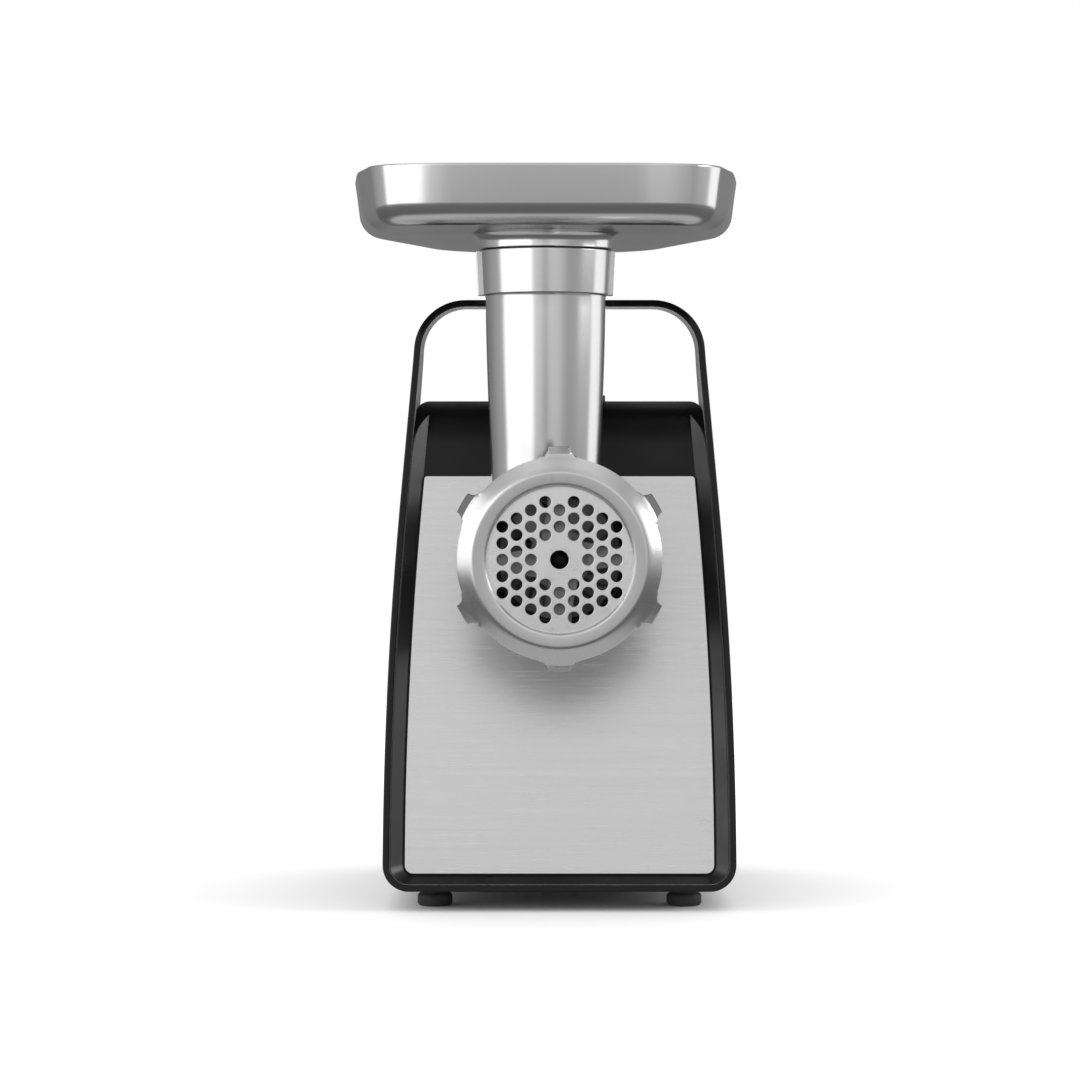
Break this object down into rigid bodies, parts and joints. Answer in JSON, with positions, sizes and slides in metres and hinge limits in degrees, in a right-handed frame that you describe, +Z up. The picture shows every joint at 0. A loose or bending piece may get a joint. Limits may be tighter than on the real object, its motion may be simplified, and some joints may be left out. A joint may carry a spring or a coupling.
{
  "type": "electric meat grinder",
  "caption": "Countertop meat grinder with a hoop handle, a steel front panel, a removable grinding head with screw, knife, hole plate and ring nut, and a feed tray on top.",
  "frame": {"origin": "on the table, below the screw's axis, midway between the front lip and the rear wall of the body", "axes": "-Y towards the grinding outlet, +Z up, +X to the right seen from the outlet"},
  "size_m": [0.1592, 0.2934, 0.3047],
  "materials": {
    "gloss_black": "gloss",
    "housing_black": "satin",
    "panel_steel": "brushed",
    "foot_rubber": "matte",
    "zinc_steel": "plated",
    "spring_steel": "drawn",
    "dark_cast": "cast",
    "cast_alloy": "cast",
    "head_alloy": "satin",
    "tray_alloy": "satin",
    "screw_alloy": "cast",
    "gear_steel": "machined",
    "core_steel": "laminated",
    "blade_steel": "ground",
    "plate_steel": "ground",
    "bronze": "sintered",
    "copper": "enamelled",
    "nylon": "satin",
    "carbon": "matte",
    "board_green": "satin"
  },
  "bodies": {
    "motor_base": {"front_frame": "gloss_black", "front_panel": "panel_steel", "rear_housing": "housing_black", "base_plate": "housing_black", "feet": "foot_rubber", "foot_screws": "zinc_steel", "head_socket": "dark_cast", "socket_screws": "zinc_steel", "lock_spring": "spring_steel", "gearbox_cover": "cast_alloy", "gearbox_case": "cast_alloy", "gearbox_screws": "zinc_steel", "gear_axles": "gear_steel", "output_bearing": "bronze", "stator_core": "core_steel", "field_windings": "copper", "motor_bracket": "cast_alloy", "motor_screws": "zinc_steel", "motor_bearings": "gear_steel", "brush_holders": "housing_black", "carbon_brushes": "carbon", "control_panel": "gloss_black", "rocker_switch_body": "housing_black", "button_switch_body": "housing_black", "button_spring": "spring_steel", "circuit_board": "board_green", "cable_gland": "housing_black"},
    "rotor": {"motor_pinion": "gear_steel", "rotor_shaft": "gear_steel", "rotor_core": "core_steel", "commutator": "copper", "cooling_fan": "housing_black"},
    "first_stage": {"first_gear": "nylon"},
    "second_stage": {"second_gear": "nylon"},
    "output_drive": {"output_gear": "gear_steel", "output_spindle": "gear_steel"},
    "lock": {"lock_slider": "gloss_black"},
    "rocker": {"power_rocker": "gloss_black"},
    "button": {"reverse_button": "gloss_black"},
    "head": {"head_barrel": "head_alloy", "barrel_bush": "nylon"},
    "screw": {"auger": "screw_alloy", "knife": "blade_steel"},
    "plate": {"hole_plate": "plate_steel"},
    "nut": {"ring_nut": "head_alloy"},
    "tray": {"feed_tray": "tray_alloy"}
  },
  "joints": [
    {"name": "rotor_spin", "type": "hinge", "parent": "motor_base", "child": "rotor", "pos_m": [0, 0.04, 0.05766], "axis": [0, 1, 0], "continuous": true},
    {"name": "first_gear_spin", "type": "hinge", "parent": "motor_base", "child": "first_stage", "pos_m": [0, -0.01, 0.09366], "axis": [0, 1, 0], "continuous": true},
    {"name": "second_gear_spin", "type": "hinge", "parent": "motor_base", "child": "second_stage", "pos_m": [0.02603, -0.02, 0.11798], "axis": [0, 1, 0], "continuous": true},
    {"name": "output_spin", "type": "hinge", "parent": "motor_base", "child": "output_drive", "pos_m": [0, -0.034, 0.149], "axis": [0, 1, 0], "continuous": true},
    {"name": "head_release", "type": "slide", "parent": "motor_base", "child": "head", "axis": [0, -1, 0], "range_m": [0, 0.06]},
    {"name": "screw_spin", "type": "hinge", "parent": "head", "child": "screw", "pos_m": [0, -0.12, 0.149], "axis": [0, 1, 0], "continuous": true},
    {"name": "plate_advance", "type": "slide", "parent": "head", "child": "plate", "axis": [0, -1, 0], "range_m": [0, 0.018]},
    {"name": "nut_turn", "type": "hinge", "parent": "plate", "child": "nut", "pos_m": [0, -0.184, 0.149], "axis": [0, -1, 0], "range_deg": [0, 2160]},
    {"name": "tray_lift", "type": "slide", "parent": "head", "child": "tray", "axis": [0, 0, 1], "range_m": [0, 0.06]},
    {"name": "lock_slide", "type": "slide", "parent": "motor_base", "child": "lock", "axis": [0, 1, 0], "range_m": [0, 0.0045], "stiffness_N_per_m": 400, "springref_m": -0.004, "deforming": ["lock_spring"]},
    {"name": "rocker_tilt", "type": "hinge", "parent": "motor_base", "child": "rocker", "pos_m": [0.06007, 0.029, 0.107], "axis": [0, 1, 0], "range_deg": [0, 14]},
    {"name": "button_press", "type": "slide", "parent": "motor_base", "child": "button", "axis": [-1, 0, 0], "range_m": [0, 0.0025], "stiffness_N_per_m": 500, "springref_m": -0.002, "deforming": ["button_spring"]}
  ],
  "couplings": [
    {"joint": "first_gear_spin", "follows": "rotor_spin", "ratio": -0.2},
    {"joint": "second_gear_spin", "follows": "rotor_spin", "ratio": 0.053333},
    {"joint": "output_spin", "follows": "rotor_spin", "ratio": -0.015238},
    {"joint": "screw_spin", "follows": "rotor_spin", "ratio": -0.015238},
    {"joint": "plate_advance", "follows": "nut_turn", "m_per_rad": 0.00047746}
  ]
}
